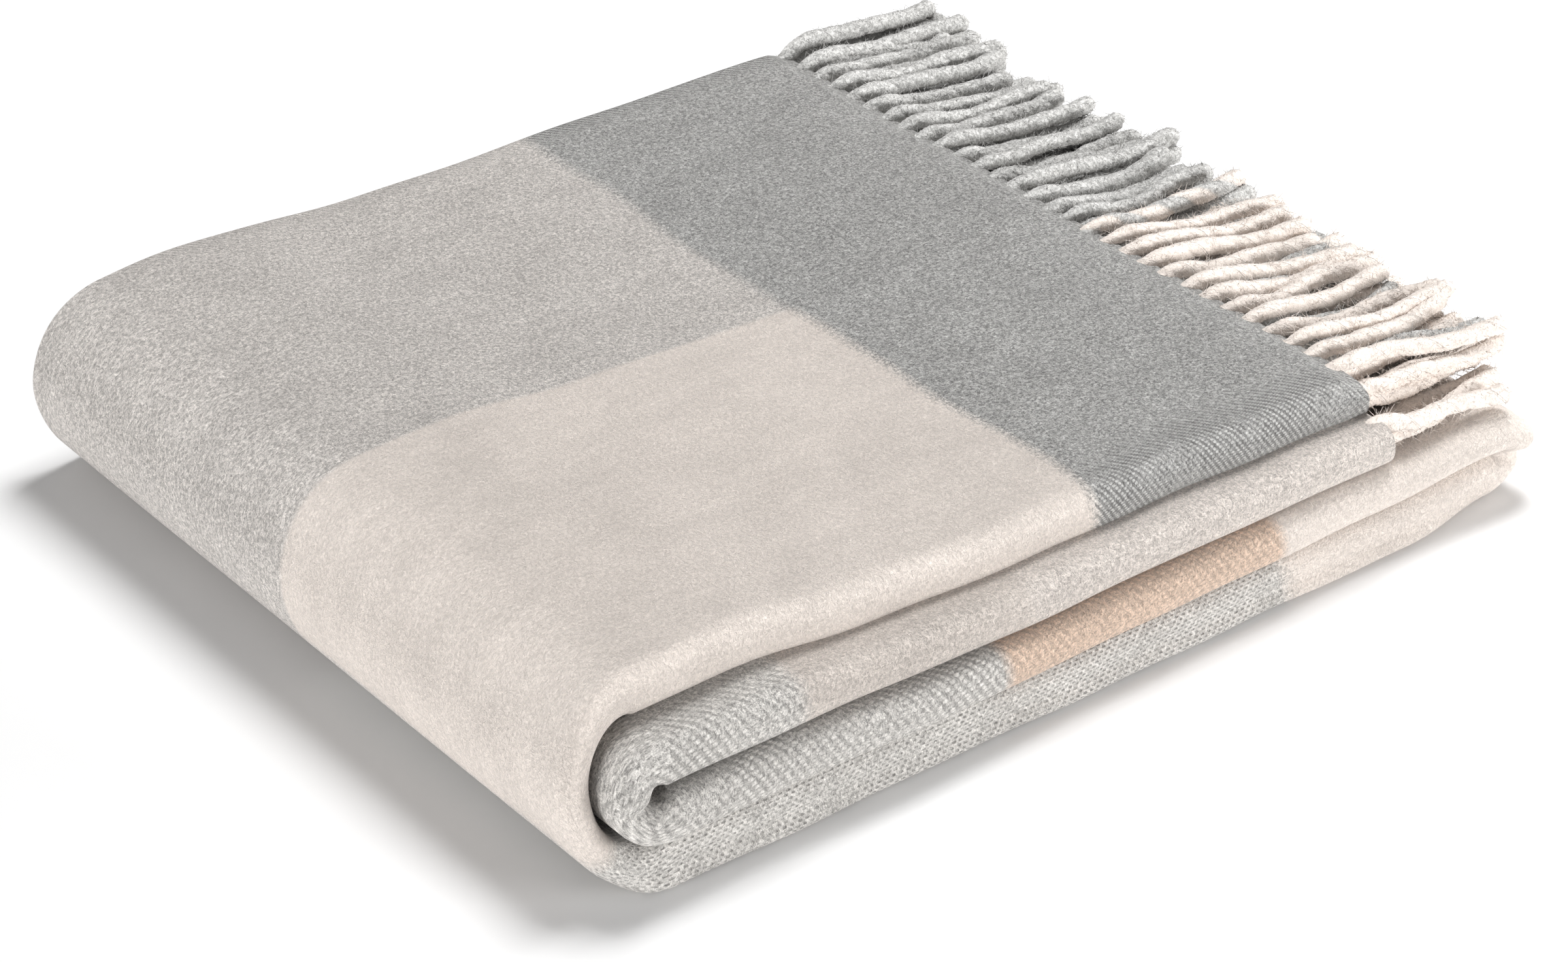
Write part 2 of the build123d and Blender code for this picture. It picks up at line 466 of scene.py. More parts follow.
class Graph:
    """Adds nodes to a tree and joins them. A value given for an input is a socket or a constant."""

    def __init__(self, tree):
        self.tree = tree
        self.tree.nodes.clear()

    def add(self, kind, settings=None, **inputs):
        node = self.tree.nodes.new(kind)
        for name, value in (settings or {}).items():
            setattr(node, name, value)
        for name, value in inputs.items():
            self.join(self.socket(node, name), value)
        return node

    @staticmethod
    def socket(node, name):
        """An input by its number, written as i0, i1 and so on, or by its name with spaces as underscores."""
        if name[0] == "i" and name[1:].isdigit():
            return node.inputs[int(name[1:])]
        return node.inputs[name.replace("_", " ")]

    def join(self, socket, value):
        if isinstance(value, bpy.types.NodeSocket):
            self.tree.links.new(value, socket)
        else:
            socket.default_value = value

    def math(self, operation, first, second=0.0, third=0.0):
        node = self.add("ShaderNodeMath", {"operation": operation}, i0=first, i1=second)
        self.join(node.inputs[2], third)
        return node.outputs[0]

    def sum_of(self, first, *others):
        return self.math("ADD", first, self.sum_of(*others)) if others else first

    def product(self, first, *others):
        return self.math("MULTIPLY", first, self.product(*others)) if others else first

    def between(self, value, low, high, low_result=0.0, high_result=1.0, kind="SMOOTHSTEP"):
        """Takes value from low..high to the two results."""
        node = self.add("ShaderNodeMapRange", {"interpolation_type": kind}, i0=value)
        for place_in, limit in enumerate((low, high, low_result, high_result), start=1):
            self.join(node.inputs[place_in], limit)
        return node.outputs[0]

    def attribute(self, name):
        return self.add("ShaderNodeAttribute", {"attribute_name": name}).outputs["Fac"]

    def vector(self, x=0.0, y=0.0, z=0.0):
        return self.add("ShaderNodeCombineXYZ", i0=x, i1=y, i2=z).outputs[0]

    def noise(self, coordinates, scale, detail=2.0, distortion=0.0, stretch=(1, 1, 1), turn=0.0):
        mapped = self.add("ShaderNodeMapping", Vector=coordinates, Rotation=(0, 0, turn), Scale=stretch)
        node = self.add(
            "ShaderNodeTexNoise", Vector=mapped.outputs[0], Scale=scale, Detail=detail, Distortion=distortion)
        return node.outputs[0]

    def mix(self, share, first, second, blend="MIX"):
        node = self.add("ShaderNodeMix", {"data_type": "RGBA", "blend_type": blend, "clamp_result": False})
        for number, value in ((0, share), (6, first), (7, second)):
            self.join(node.inputs[number], value)
        return node.outputs[2]

    def colour_bands(self, position, bands):
        """Colours one after another. A band is its end, colour and mixture of fibres, kept as alpha."""
        node = self.add("ShaderNodeValToRGB", Fac=position)
        stops = node.color_ramp.elements
        edge = 0.0016 / CLOTH_LENGTH
        wanted = []
        start = 0.0
        for end, colour, mixture in bands:
            wanted.append((start + edge, (*colour, mixture)))
            wanted.append((end / CLOTH_LENGTH - edge, (*colour, mixture)))
            start = end / CLOTH_LENGTH
        while len(stops) < len(wanted):
            stops.new(1.0)
        for stop, (at, value) in zip(stops, wanted):
            stop.position = at
            stop.color = value
        return node.outputs["Color"], node.outputs["Alpha"]


def wool_surface(graph, colour, height, sheen=0.35):
    """A soft matt shader with constant sheen, and relief from a height in metres."""
    bump = graph.add("ShaderNodeBump", Height=height, Strength=1.0, Distance=1.0)
    shader = graph.add("ShaderNodeBsdfPrincipled", Base_Color=colour, Normal=bump.outputs[0])
    shader.inputs["Roughness"].default_value = 0.92
    shader.inputs["Specular IOR Level"].default_value = 0.18
    shader.inputs["Sheen Weight"].default_value = sheen
    shader.inputs["Sheen Roughness"].default_value = 0.55
    shader.inputs["Sheen Tint"].default_value = (1.0, 0.97, 0.94, 1.0)
    output = graph.add("ShaderNodeOutputMaterial")
    graph.tree.links.new(shader.outputs[0], output.inputs["Surface"])


def scaled(colour, factor):
    """A colour made lighter or darker."""
    return tuple(min(part * factor, 1.0) for part in colour)


def cloth_material(settings):
    """Brushed twill in blocks of colour. It reads the map called cloth, in metres along and across."""
    material = bpy.data.materials.new("brushed_wool_twill")
    material.use_nodes = True
    graph = Graph(material.node_tree)
    place_on_cloth = graph.add("ShaderNodeUVMap", {"uv_map": "cloth"}).outputs[0]
    parts = graph.add("ShaderNodeSeparateXYZ", Vector=place_on_cloth)
    along, across = parts.outputs[0], parts.outputs[1]
    relief, knit = graph.attribute("relief"), graph.attribute("knit")
    rib_pitch = graph.product(graph.attribute("rib_pitch"), settings.rib_scale)

    # Nap: curled fibres lying over each other, in clumps.
    clumps = graph.noise(place_on_cloth, 620.0, 3.0, 0.8)
    fibres = graph.noise(place_on_cloth, 1500.0, 3.0, 1.6, stretch=(0.5, 1.25, 1), turn=0.5)
    crossing = graph.noise(place_on_cloth, 1500.0, 3.0, 1.6, stretch=(1.25, 0.5, 1), turn=0.3)
    patches = graph.noise(place_on_cloth, 26.0, 3.0, 0.4)
    brushing = graph.noise(place_on_cloth, 60.0, 2.0, 0.3, stretch=(0.35, 1.6, 1), turn=0.9)
    hairs = graph.math("MAXIMUM", fibres, crossing)
    melange = graph.noise(place_on_cloth, 330.0, 4.0, 1.8)

    # Colours: the weft changes along the cloth, the warp across it, with fibres drawn over the borders.
    tangle = graph.product(graph.sum_of(clumps, fibres), 0.5)
    fray = graph.product(graph.math("SUBTRACT", tangle, 0.5), 0.007)
    drawn = graph.noise(place_on_cloth, 9.0, 1.0)
    sway = graph.product(graph.math("SUBTRACT", drawn, 0.5), 0.016)
    weft_at = graph.math("DIVIDE", graph.sum_of(graph.sum_of(along, fray), sway), CLOTH_LENGTH)
    warp_at = graph.sum_of(graph.sum_of(across, fray), sway)
    pale = settings.cream
    front, front_mixture = graph.colour_bands(weft_at, (
        (DARK_END, settings.dark_grey, 1.0),
        (CREAM_END, pale, 0.12),
        (LIGHT_END, settings.silver_grey, 0.75),
        (SECOND_CREAM_END, pale, 0.12),
        (TAN_END, settings.tan, 0.45),
        (SECOND_LIGHT_END, settings.silver_grey, 0.75),
        (THIRD_CREAM_END, scaled(pale, 0.70), 0.40),
        (CLOTH_LENGTH, settings.oatmeal, 0.5),
    ))
    back, back_mixture = graph.colour_bands(weft_at, (
        (DARK_END, scaled(settings.dark_grey, 0.93), 1.0),
        (CREAM_END, settings.light_grey, 0.55),
        (LIGHT_END, scaled(settings.light_grey, 0.82), 0.8),
        (SECOND_CREAM_END, settings.light_grey, 0.55),
        (TAN_END, scaled(settings.tan, 0.82), 0.6),
        (SECOND_LIGHT_END, scaled(settings.light_grey, 0.82), 0.8),
        (CLOTH_LENGTH, settings.light_grey, 0.6),
    ))
    behind = graph.between(warp_at, WARP_CHANGE - 0.002, WARP_CHANGE + 0.002)
    base = graph.mix(behind, front, back)
    mixture = graph.sum_of(
        graph.product(front_mixture, graph.math("SUBTRACT", 1.0, behind)),
        graph.product(back_mixture, behind))

    # Twill: each warp yarn floats over two picks, one pick further on than its neighbour.
    yarn = graph.math("DIVIDE", across, graph.product(rib_pitch, settings.end_share))
    yarn_number = graph.math("FLOOR", yarn)
    yarn_round = graph.math("SINE", graph.product(graph.math("FRACT", yarn), math.pi))
    broken = graph.product(graph.math("MODULO", yarn_number, 2.0), 2.0)
    regular = graph.math("SUBTRACT", 1.0, knit)
    steps = graph.sum_of(
        graph.product(graph.math("MODULO", yarn_number, 4.0), regular), graph.product(broken, knit))
    uneven = graph.product(graph.math("SUBTRACT", clumps, 0.5), 0.35)
    ribs = graph.sum_of(
        graph.math("SUBTRACT", graph.math("DIVIDE", along, rib_pitch), graph.product(steps, 0.25)),
        uneven)
    float_round = graph.math("SINE", graph.product(graph.math("FRACT", ribs), math.pi))
    yarn_relief = graph.sum_of(0.66, graph.product(yarn_round, 0.34))
    floats = graph.product(float_round, yarn_relief)
    twill = graph.between(floats, 0.42, 0.95)
    specks = graph.between(graph.product(float_round, yarn_round), 0.45, 0.92, 0.95, 0.0)
    weave = graph.sum_of(graph.product(twill, regular), graph.product(specks, knit))
    shown = graph.product(relief, graph.between(patches, 0.35, 0.60, 0.35, 1.0))

    brighter = graph.sum_of(1.20, graph.product(mixture, 0.90))
    dimmer = graph.math("SUBTRACT", 0.80, graph.product(mixture, 0.44))
    lighter = graph.mix(1.0, base, graph.vector(brighter, brighter, brighter), "MULTIPLY")
    darker = graph.mix(1.0, base, graph.vector(dimmer, dimmer, dimmer), "MULTIPLY")
    nap_light = graph.between(hairs, 0.47, 0.64, 0.0, 1.0)
    clump_light = graph.between(clumps, 0.40, 0.62, 0.0, 1.0)
    nap = graph.sum_of(graph.product(nap_light, 0.6), graph.product(clump_light, 0.4))
    patch_light = graph.sum_of(graph.product(patches, 0.6), graph.product(brushing, 0.4))
    # Twill colour, partly real and partly painted shade: the floats show the paler warp yarn lighter, and the
    # gaps between the yarns are painted shade, drawn darker.
    woven = graph.mix(weave, darker, lighter)
    # Nap colour, partly real and partly painted light: the melange fibres are drawn lighter and darker, with
    # a painted highlight on the fibre tips and painted shade in the gaps between them.
    nap_tone_and_light = graph.mix(nap, darker, lighter)
    weave_share = graph.product(shown, graph.sum_of(0.02, graph.product(mixture, 0.56)))
    nap_share = graph.sum_of(0.50, graph.product(mixture, 0.95))
    colour = graph.mix(nap_share, base, nap_tone_and_light)
    colour = graph.mix(weave_share, colour, woven)
    patch_tone = graph.between(patch_light, 0.30, 0.70, 0.90, 1.08, "LINEAR")
    melange_tone = graph.product(graph.between(melange, 0.38, 0.62, -0.13, 0.13), mixture)
    patch_tone = graph.product(patch_tone, graph.sum_of(1.0, melange_tone))
    tone = graph.vector(patch_tone, patch_tone, patch_tone)
    colour = graph.mix(1.0, colour, tone, "MULTIPLY")

    height = graph.product(graph.sum_of(hairs, clumps), settings.nap_depth)
    rib_height = graph.product(graph.product(weave, weave_share), settings.rib_depth * 2.0)
    wool_surface(graph, colour, graph.sum_of(height, rib_height))
    return material


def yarn_material(settings):
    """Two-ply warp yarn. It reads how far around the yarn a point lies, and whether its strand is grey."""
    material = bpy.data.materials.new("twisted_wool_yarn")
    material.use_nodes = True
    graph = Graph(material.node_tree)
    around, grey = graph.attribute("around"), graph.attribute("grey")
    object_place = graph.add("ShaderNodeTexCoord").outputs["Object"]
    fuzz = graph.noise(object_place, 700.0, 3.0, 0.8)
    coarse = graph.noise(object_place, 140.0, 2.0)
    groove = graph.math("ABSOLUTE", graph.math("COSINE", graph.product(around, 2 * math.pi)))
    ply_round = graph.between(groove, 0.0, 0.55)
    mixed_grey = graph.mix(
        graph.between(fuzz, 0.34, 0.66),
        scaled(settings.dark_grey, 1.10) + (1,), scaled(settings.dark_grey, 2.15) + (1,))
    mixed_cream = graph.mix(
        graph.between(fuzz, 0.3, 0.7),
        scaled(settings.cream, 1.06) + (1,), scaled(settings.cream, 1.20) + (1,))
    colour = graph.mix(grey, mixed_cream, mixed_grey)
    # Painted shade: the groove between the two plies is drawn darker. The coarse noise below adds tone that
    # differs at random.
    shade = graph.between(ply_round, 0.0, 1.0, 0.96, 1.01, "LINEAR")
    shade = graph.product(shade, graph.between(coarse, 0.3, 0.7, 0.94, 1.06, "LINEAR"))
    colour = graph.mix(1.0, colour, graph.vector(shade, shade, shade), "MULTIPLY")
    height = graph.sum_of(graph.product(ply_round, 0.00020), graph.product(fuzz, 0.0009))
    wool_surface(graph, colour, height, 0.6)
    return material


# ---------------------------------------------------------------------------
# Tassels, made with Geometry Nodes
# ---------------------------------------------------------------------------

TASSEL_INPUTS = (
    ("Count", "NodeSocketInt"),
    ("Pitch", "NodeSocketFloat"),
    ("First Y", "NodeSocketFloat"),
    ("Root X", "NodeSocketFloat"),
    ("Root Z", "NodeSocketFloat"),
    ("Tip Z", "NodeSocketFloat"),
    ("Length", "NodeSocketFloat"),
    ("Diameter", "NodeSocketFloat"),
    ("Twist Pitch", "NodeSocketFloat"),
    ("Spread", "NodeSocketFloat"),
    ("Grey From Y", "NodeSocketFloat"),
    ("Fibres", "NodeSocketFloat"),
    ("Seed", "NodeSocketInt"),
    ("Yarn", "NodeSocketMaterial"),
)
STEPS_ALONG = 44
STEPS_AROUND = 12
FULL_TURN = 2 * math.pi

# What differs from one tassel to the next, with its lowest and highest value.
TASSEL_DIFFERENCES = (
    ("own_length", 0.84, 1.0),
    ("own_size", 0.88, 1.12),
    ("own_turn", 0.0, 6.28),
    ("own_twist", 0.85, 1.2),
    ("drift", -1.0, 1.0),
    ("bend", -1.0, 1.0),
    ("bend_at", 0.0, 6.28),
    ("lift", -1.0, 1.0),
    ("root_shift", -1.0, 1.0),
)
# One loose fibre, tapered to a fine end, in metres, and how it leans from upright, in radians.
FIBRE_SHAPE = (("Vertices", 3), ("Radius Top", 0.00005), ("Radius Bottom", 0.00016), ("Depth", 0.0048))
FIBRE_LEAN_LOW, FIBRE_LEAN_HIGH = (0.6, 0.0, -3.14), (1.45, 0.0, 3.14)
FIBRE_SIZE_LOW, FIBRE_SIZE_HIGH = 0.35, 1.0
# Tassels by the front edge are shorter, and those by the back edge are held up by their neighbours.
SHORT_REACH, SHORT_SHARE = 0.075, 0.86
RAISED_REACH, RAISED_BY = 0.080, 0.008


def loose_fibres(graph, mesh, density, seed):
    """Adds fine tapered fibres, leaning every way, to the surface of a mesh."""
    spots = graph.add("GeometryNodeDistributePointsOnFaces", Mesh=mesh)
    graph.join(next(item for item in spots.inputs if item.name == "Density" and item.enabled), density)
    graph.join(spots.inputs["Seed"], seed)
    fibre = graph.add("GeometryNodeMeshCone", {"fill_type": "NGON"})
    for name, value in FIBRE_SHAPE:
        graph.join(fibre.inputs[name], value)
    lean = graph.add("FunctionNodeRandomValue", {"data_type": "FLOAT_VECTOR"})
    graph.join(lean.inputs[0], FIBRE_LEAN_LOW)
    graph.join(lean.inputs[1], FIBRE_LEAN_HIGH)
    size = graph.add("FunctionNodeRandomValue", {"data_type": "FLOAT"})
    graph.join(size.inputs[2], FIBRE_SIZE_LOW)
    graph.join(size.inputs[3], FIBRE_SIZE_HIGH)
    turned = graph.add("FunctionNodeEulerToRotation", Euler=lean.outputs[0])
    leaning = graph.add("FunctionNodeRotateRotation", {"rotation_space": "LOCAL"})
    graph.join(leaning.inputs[0], spots.outputs["Rotation"])
    graph.join(leaning.inputs[1], turned.outputs[0])
    fibres = graph.add("GeometryNodeInstanceOnPoints", Points=spots.outputs[0], Instance=fibre.outputs[0])
    graph.join(fibres.inputs["Rotation"], leaning.outputs[0])
    graph.join(fibres.inputs["Scale"], size.outputs[1])
    together = graph.add("GeometryNodeJoinGeometry")
    graph.tree.links.new(fibres.outputs[0], together.inputs[0])
    graph.tree.links.new(mesh, together.inputs[0])
    return together.outputs[0]


def tassel_tree():
    """A row of two-strand tassels, each with its own length, twist, bends and drift."""
    tree = bpy.data.node_groups.new("Tassel Row", "GeometryNodeTree")
    for name, kind in TASSEL_INPUTS:
        tree.interface.new_socket(name, in_out="INPUT", socket_type=kind)
    tree.interface.new_socket("Geometry", in_out="OUTPUT", socket_type="NodeSocketGeometry")
    graph = Graph(tree)
    given = graph.add("NodeGroupInput").outputs

    def chance(low, high, number):
        seed = graph.sum_of(given["Seed"], float(number * 37))
        own_index = graph.add("GeometryNodeInputIndex").outputs[0]
        node = graph.add("FunctionNodeRandomValue", {"data_type": "FLOAT"}, ID=own_index)
        for place_in, value in ((2, low), (3, high)):
            graph.join(node.inputs[place_in], value)
        graph.join(node.inputs["Seed"], seed)
        return node.outputs[1]

    def keep(geometry, name, value, domain="POINT"):
        node = graph.add("GeometryNodeStoreNamedAttribute", {"data_type": "FLOAT", "domain": domain})
        graph.join(node.inputs["Geometry"], geometry)
        graph.join(node.inputs["Name"], name)
        graph.join(node.inputs["Value"], value)
        return node.outputs[0]

    def kept(name):
        node = graph.add("GeometryNodeInputNamedAttribute", {"data_type": "FLOAT"})
        graph.join(node.inputs["Name"], name)
        return node.outputs[0]

    sum_of, product = graph.sum_of, graph.product

    line = graph.add("GeometryNodeMeshLine", Count=given["Count"])
    graph.join(line.inputs["Start Location"], graph.vector(0.0, given["First Y"], 0.0))
    graph.join(line.inputs["Offset"], graph.vector(0.0, given["Pitch"], 0.0))
    strand = graph.add("GeometryNodeCurvePrimitiveLine")
    graph.join(strand.inputs["End"], (1.0, 0.0, 0.0))
    strand = graph.add("GeometryNodeResampleCurve", Curve=strand.outputs[0])
    graph.join(strand.inputs["Count"], STEPS_ALONG + 1)
    rows = graph.add("GeometryNodeInstanceOnPoints", Points=line.outputs[0], Instance=strand.outputs[0])
    tassels = rows.outputs[0]
    for number, (name, low, high) in enumerate(TASSEL_DIFFERENCES, start=1):
        tassels = keep(tassels, name, chance(low, high, number), "INSTANCE")
    tassels = graph.add("GeometryNodeRealizeInstances", Geometry=tassels).outputs[0]
    position = graph.add("GeometryNodeInputPosition").outputs[0]
    start = graph.add("ShaderNodeSeparateXYZ", Vector=position)
    tassels = keep(tassels, "share", start.outputs[0])
    tassels = keep(tassels, "root_y", start.outputs[1])

    share = kept("share")
    shorter = graph.between(kept("root_y"), FRONT_Y + SHORT_REACH, FRONT_Y, 1.0, SHORT_SHARE)
    length = product(given["Length"], kept("own_length"), shorter)
    along = product(share, length)
    fallen = graph.between(share, 0.05, 0.85)
    free = graph.between(share, 0.0, 0.35)
    wave = graph.math("SINE", sum_of(product(share, 7.0), kept("bend_at")))
    late_wave = graph.math("SINE", sum_of(product(share, 11.0), product(kept("bend_at"), 2.3)))
    x = sum_of(given["Root X"], product(kept("root_shift"), 0.0012), along)
    y = sum_of(
        kept("root_y"),
        product(kept("root_shift"), 0.0015),
        product(kept("drift"), given["Spread"], graph.math("POWER", share, 1.5)),
        product(kept("bend"), wave, free, 0.0030),
        product(late_wave, free, 0.0006),
    )
    raised = graph.between(kept("root_y"), BACK_Y - RAISED_REACH, BACK_Y, 0.0, RAISED_BY)
    z = sum_of(
        given["Root Z"],
        product(raised, free),
        product(graph.math("SINE", product(free, math.pi)), 0.0022),
        product(graph.math("SUBTRACT", given["Tip Z"], given["Root Z"]), fallen),
        product(kept("lift"), free, 0.0024),
        product(late_wave, free, 0.0007),
    )
    moved = graph.add("GeometryNodeSetPosition", Geometry=tassels, Position=graph.vector(x, y, z)).outputs[0]
    turn = sum_of(
        kept("own_turn"),
        graph.math("DIVIDE", product(along, kept("own_twist"), FULL_TURN), given["Twist Pitch"]))
    tilted = graph.add("GeometryNodeSetCurveTilt", Curve=moved, Tilt=turn).outputs[0]
    root_end = graph.between(share, 0.05, 0.25, 0.85, 1.0)
    tip_end = graph.math("SQRT", graph.between(share, 1.0, 0.955, 0.02, 1.0, "LINEAR"))
    knotted = graph.between(share, 0.80, 0.97, 1.0, 1.14)
    radius = product(given["Diameter"], 0.5, kept("own_size"), root_end, tip_end, knotted)
    shaped = graph.add("GeometryNodeSetCurveRadius", Curve=tilted, Radius=radius).outputs[0]

    ring = graph.add("GeometryNodeCurvePrimitiveCircle", Resolution=STEPS_AROUND, Radius=1.0).outputs[0]
    index = graph.add("GeometryNodeInputIndex").outputs[0]
    around = graph.math("DIVIDE", index, float(STEPS_AROUND))
    ring = keep(ring, "around", around)
    angle = product(kept("around"), FULL_TURN)
    lobes = graph.math("POWER", graph.math("ABSOLUTE", graph.math("COSINE", angle)), 0.8)
    reach = sum_of(0.87, product(lobes, 0.13))
    ring = graph.add(
        "GeometryNodeSetPosition", Geometry=ring,
        Position=graph.vector(
            product(reach, graph.math("COSINE", angle)), product(reach, graph.math("SINE", angle)), 0.0),
    ).outputs[0]
    body = graph.add("GeometryNodeCurveToMesh", Curve=shaped)
    graph.join(body.inputs["Profile Curve"], ring)
    graph.join(body.inputs["Fill Caps"], True)
    if "Scale" in body.inputs:
        graph.join(body.inputs["Scale"], graph.add("GeometryNodeInputRadius").outputs[0])
    strand_side = graph.math("SIGN", graph.math("COSINE", product(kept("around"), FULL_TURN)))
    strand_y = sum_of(kept("root_y"), product(strand_side, given["Pitch"], 0.5))
    grey = graph.math("GREATER_THAN", strand_y, given["Grey From Y"])
    mesh = keep(body.outputs[0], "grey", grey)
    mesh = loose_fibres(graph, mesh, given["Fibres"], given["Seed"])
    mesh = graph.add("GeometryNodeSetShadeSmooth", Geometry=mesh).outputs[0]
    mesh = graph.add("GeometryNodeRealizeInstances", Geometry=mesh).outputs[0]
    mesh = graph.add("GeometryNodeSetMaterial", Geometry=mesh, Material=given["Yarn"]).outputs[0]
    out = graph.add("NodeGroupOutput")
    graph.join(out.inputs[0], mesh)
    return tree


def apply_tree(name, tree, values):
    """Runs a node tree once and keeps its result as a plain mesh object at the origin."""
    holder = bpy.data.objects.new(name + "_holder", bpy.data.meshes.new(name + "_holder"))
    bpy.context.scene.collection.objects.link(holder)
    modifier = holder.modifiers.new("build", "NODES")
    modifier.node_group = tree
    for item in tree.interface.items_tree:
        if item.in_out == "INPUT" and item.name in values:
            modifier[item.identifier] = values[item.name]
    evaluated = holder.evaluated_get(bpy.context.evaluated_depsgraph_get())
    mesh = bpy.data.meshes.new_from_object(evaluated)
    mesh.name = name
    bpy.data.objects.remove(holder)
    if not mesh.polygons or not mesh.materials:
        raise RuntimeError(name + " came out of its node tree without faces or material")
    made = bpy.data.objects.new(name, mesh)
    bpy.context.scene.collection.objects.link(made)
    return made


# ---------------------------------------------------------------------------
# Operators
# ---------------------------------------------------------------------------

# How the weave shows: how broken its ribs are, and the pitch of the ribs.
FINE_TWILL = (0.0, 0.0030)
TWILL = (0.0, 0.0046)
SPECKLED = (0.7, 0.0046)
KNITTED = (1.0, 0.0036)
PLAIN = (0.0, 0.0036)

# Stretch of the cloth, its body, step along, coarsest step across, and where the weave's look changes.
CLOTH_PIECES = (
    ("top_quarter", "upper_half", 0.0036, 0.0050, (1.0, FINE_TWILL, FINE_TWILL)),
    ("second_quarter", "upper_half", 0.0050, 0.0110, (0.17, TWILL, SPECKLED)),
    ("third_quarter", "lower_half", 0.0050, 0.0110, (0.0, TWILL, TWILL)),
    ("bottom_quarter", "lower_half", 0.0050, 0.0110, (1.0, KNITTED, KNITTED)),
    ("right_fold", "lower_half", 0.0016, 0.0060, (0.5, KNITTED, PLAIN)),
    ("outer_left_fold", None, 0.0020, 0.0050, (0.70, PLAIN, KNITTED)),
    ("inner_left_fold", None, 0.0012, 0.0060, (0.0, TWILL, TWILL)),
)
FINE_STEP = 0.0012


class THROW_OT_cloth(bpy.types.Operator):
    """Makes the folded cloth: four strips and the folds between them"""
    bl_idname = "throw.cloth"
    bl_label = "Folded cloth"

    def execute(self, context):
        settings = context.scene.throw_cloth
        material = cloth_material(settings)
        for stretch, body, step, coarse, looks in CLOTH_PIECES:
            section = Section(settings.thickness, FINE_STEP, coarse)
            piece = cloth_stretch(stretch, "cloth_" + stretch, section, step, material, looks)
            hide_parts(stretch)
            if body:
                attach(piece, body)
            else:
                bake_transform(piece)
        return {"FINISHED"}


# Row, CAD node, its warp, the height of its tips, its shift along the end in tassel pitches, and how far
# behind the front edge it starts.
TASSEL_ROWS = (
    ("fringe_second_middle_third", "second_fringe_middle_third", "both", 0.0455, 0.0, 0.009),
    ("fringe_second_back_third", "second_fringe_back_third", "grey", 0.0465, 0.0, 0.034),
    ("fringe_second_front_third", "second_fringe_front_third", "both", 0.0500, 0.0, 0.009),
    ("fringe_top_front_third", "top_fringe_front_third", "both", 0.0560, -0.5, 0.026),
    ("fringe_top_back_third", "top_fringe_back_third", "grey", 0.0560, 0.5, 0.044),
    ("fringe_top_middle_third", "top_fringe_middle_third", "both", 0.0635, 0.0, 0.026),
)
GREY_FROM = {"both": FRONT_Y + WARP_CHANGE - WIDTH - 0.008, "grey": -1.0}
# Height of the lowest row's roots, the step up to the next row, and how much of a tassel the cloth hides.
LOWEST_ROOT = 0.0430
ROOT_STEP = 0.0056
HIDDEN = 0.012


class THROW_OT_fringe(bpy.types.Operator):
    """Makes the six rows of twisted tassels"""
    bl_idname = "throw.fringe"
    bl_label = "Fringe"

    def execute(self, context):
        settings = context.scene.throw_fringe
        tree = tassel_tree()
        material = yarn_material(context.scene.throw_cloth)
        for row, (name, node, warp, tip_z, shift, setback) in enumerate(TASSEL_ROWS):
            low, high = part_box(node)
            first_y = low.y + settings.diameter / 2 + setback
            pitch = (high.y - settings.diameter / 2 - first_y) / (settings.count - 1)
            piece = apply_tree(name, tree, {
                "Count": settings.count,
                "Pitch": pitch,
                "First Y": first_y + shift * pitch,
                "Root X": FRINGE_X - HIDDEN,
                "Root Z": LOWEST_ROOT + ROOT_STEP * row,
                "Tip Z": tip_z,
                "Length": high.x - FRINGE_X + HIDDEN,
                "Diameter": settings.diameter,
                "Twist Pitch": settings.twist_pitch,
                "Spread": settings.spread,
                "Grey From Y": GREY_FROM[warp],
                "Fibres": settings.fibres,
                "Seed": settings.seed + row,
                "Yarn": material,
            })
            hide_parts(node)
            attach(piece, "upper_half")
        return {"FINISHED"}


CAMERA_AZIMUTH, CAMERA_ELEVATION, CAMERA_ROLL = math.radians(-35.4), math.radians(31.14), math.radians(-2.25)
CAMERA_TARGET = (-0.0471, -0.0579, 0.040)
CAMERA_DISTANCE = 1.8575
CAMERA_LENS = 102.19
FLOOR_HALF = 6.0
FLOOR_Z = -0.0004
LAMP_TARGET = (0, 0, 0.04)
# Soft lights: name, power as a share of the key light's, width, height and place.
LAMPS = (
    ("key", 1.0, 0.9, 0.9, (0.72, 0.35, 2.0)),
    ("front", 1.0, 1.2, 0.45, (1.25, -2.00, 0.30)),
    ("left", 0.82, 1.2, 0.36, (-2.3, -0.45, 0.22)),
)


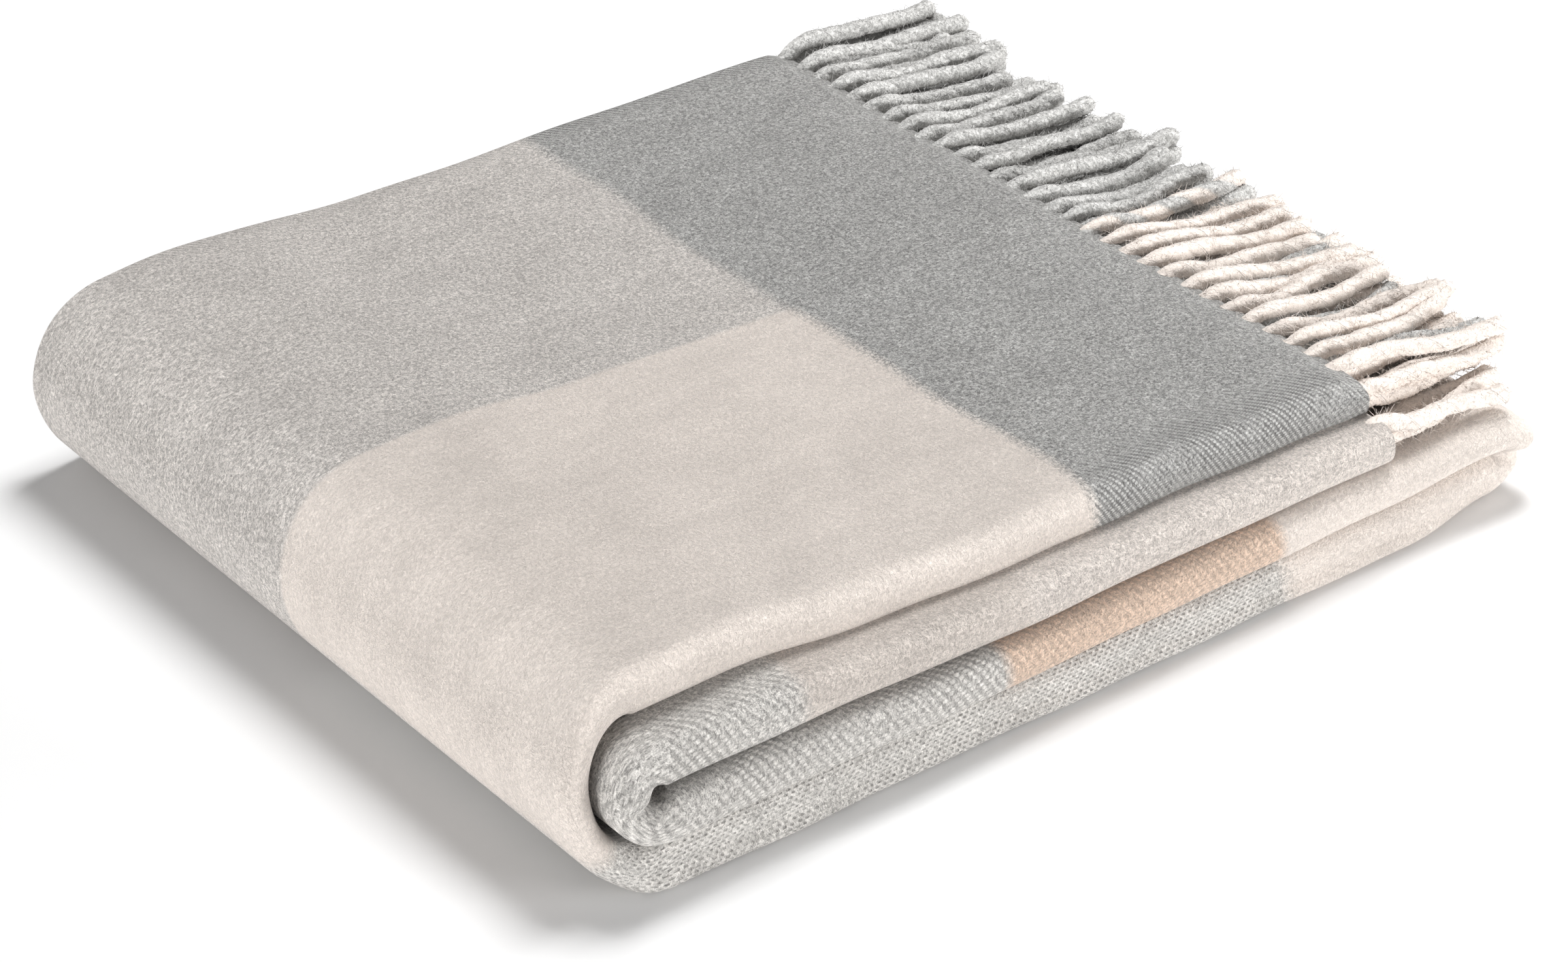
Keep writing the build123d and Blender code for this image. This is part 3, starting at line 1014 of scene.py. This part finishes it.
class THROW_OT_stage(bpy.types.Operator):
    """Makes the floor, the lights and the camera"""
    bl_idname = "throw.stage"
    bl_label = "Stage"

    def execute(self, context):
        settings = context.scene.throw_stage
        self.add_camera(context)
        self.add_floor(settings)
        self.add_lights(context, settings)
        return {"FINISHED"}

    def add_camera(self, context):
        level_share = math.cos(CAMERA_ELEVATION)
        back = Vector((
            math.sin(CAMERA_AZIMUTH) * level_share,
            -math.cos(CAMERA_AZIMUTH) * level_share,
            math.sin(CAMERA_ELEVATION)))
        level = Vector((0, 0, 1)).cross(back).normalized()
        upright = back.cross(level)
        right = level * math.cos(CAMERA_ROLL) + upright * math.sin(CAMERA_ROLL)
        up = upright * math.cos(CAMERA_ROLL) - level * math.sin(CAMERA_ROLL)
        data = bpy.data.cameras.new("camera")
        data.sensor_width = 36.0
        data.lens = CAMERA_LENS
        data.clip_start = 0.05
        data.dof.use_dof = False
        camera = bpy.data.objects.new("camera", data)
        place_at = Vector(CAMERA_TARGET) + back * CAMERA_DISTANCE
        camera.matrix_world = Matrix.Translation(place_at) @ Matrix((right, up, back)).transposed().to_4x4()
        context.scene.collection.objects.link(camera)
        context.scene.camera = camera

    def add_floor(self, settings):
        material = bpy.data.materials.new("pale_floor")
        material.use_nodes = True
        shader = material.node_tree.nodes["Principled BSDF"]
        shader.inputs["Base Color"].default_value = (*settings.floor_colour, 1)
        shader.inputs["Roughness"].default_value = 0.9
        corners = ((-1, -1), (1, -1), (1, 1), (-1, 1))
        points = np.array([(x * FLOOR_HALF, y * FLOOR_HALF, FLOOR_Z) for x, y in corners])
        floor = make_object("floor", points, np.array([(0, 1, 2, 3)]), material)

    def add_lights(self, context, settings):
        world = bpy.data.worlds.new("studio")
        context.scene.world = world
        world.use_nodes = True
        surround = world.node_tree.nodes["Background"]
        surround.inputs["Color"].default_value = (1.0, 1.0, 1.0, 1)
        surround.inputs["Strength"].default_value = settings.fill_strength
        for name, power, width, height, place_at in LAMPS:
            data = bpy.data.lights.new(name, "AREA")
            data.energy = settings.key_power * power
            data.shape = "RECTANGLE"
            data.size = width
            data.size_y = height
            lamp = bpy.data.objects.new(name, data)
            lamp.location = place_at
            lamp.rotation_euler = (Vector(place_at) - Vector(LAMP_TARGET)).to_track_quat("Z", "Y").to_euler()
            context.scene.collection.objects.link(lamp)


class THROW_PT_panel(bpy.types.Panel):
    """Lists the throw's pieces and their settings"""
    bl_label = "Folded Wool Throw"
    bl_idname = "THROW_PT_panel"
    bl_space_type = "VIEW_3D"
    bl_region_type = "UI"
    bl_category = "Throw"

    def draw(self, context):
        for settings, operator in (
            ("throw_cloth", "throw.cloth"), ("throw_fringe", "throw.fringe"), ("throw_stage", "throw.stage"),
        ):
            box = self.layout.box()
            group = getattr(context.scene, settings)
            for name in group.__annotations__:
                box.prop(group, name)
            box.operator(operator)


SETTINGS = (
    ("throw_cloth", ThrowClothSettings),
    ("throw_fringe", ThrowFringeSettings),
    ("throw_stage", ThrowStageSettings),
)
CLASSES = (THROW_OT_cloth, THROW_OT_fringe, THROW_OT_stage, THROW_PT_panel)


def register():
    for name, group in SETTINGS:
        bpy.utils.register_class(group)
        setattr(bpy.types.Scene, name, PointerProperty(type=group))
    for made in CLASSES:
        bpy.utils.register_class(made)


def unregister():
    for made in reversed(CLASSES):
        bpy.utils.unregister_class(made)
    for name, group in reversed(SETTINGS):
        delattr(bpy.types.Scene, name)
        bpy.utils.unregister_class(group)


def main():
    register()
    bpy.context.scene.view_settings.view_transform = "Standard"
    bpy.ops.throw.cloth()
    bpy.ops.throw.fringe()
    bpy.ops.throw.stage()


if __name__ == "__main__":
    main()
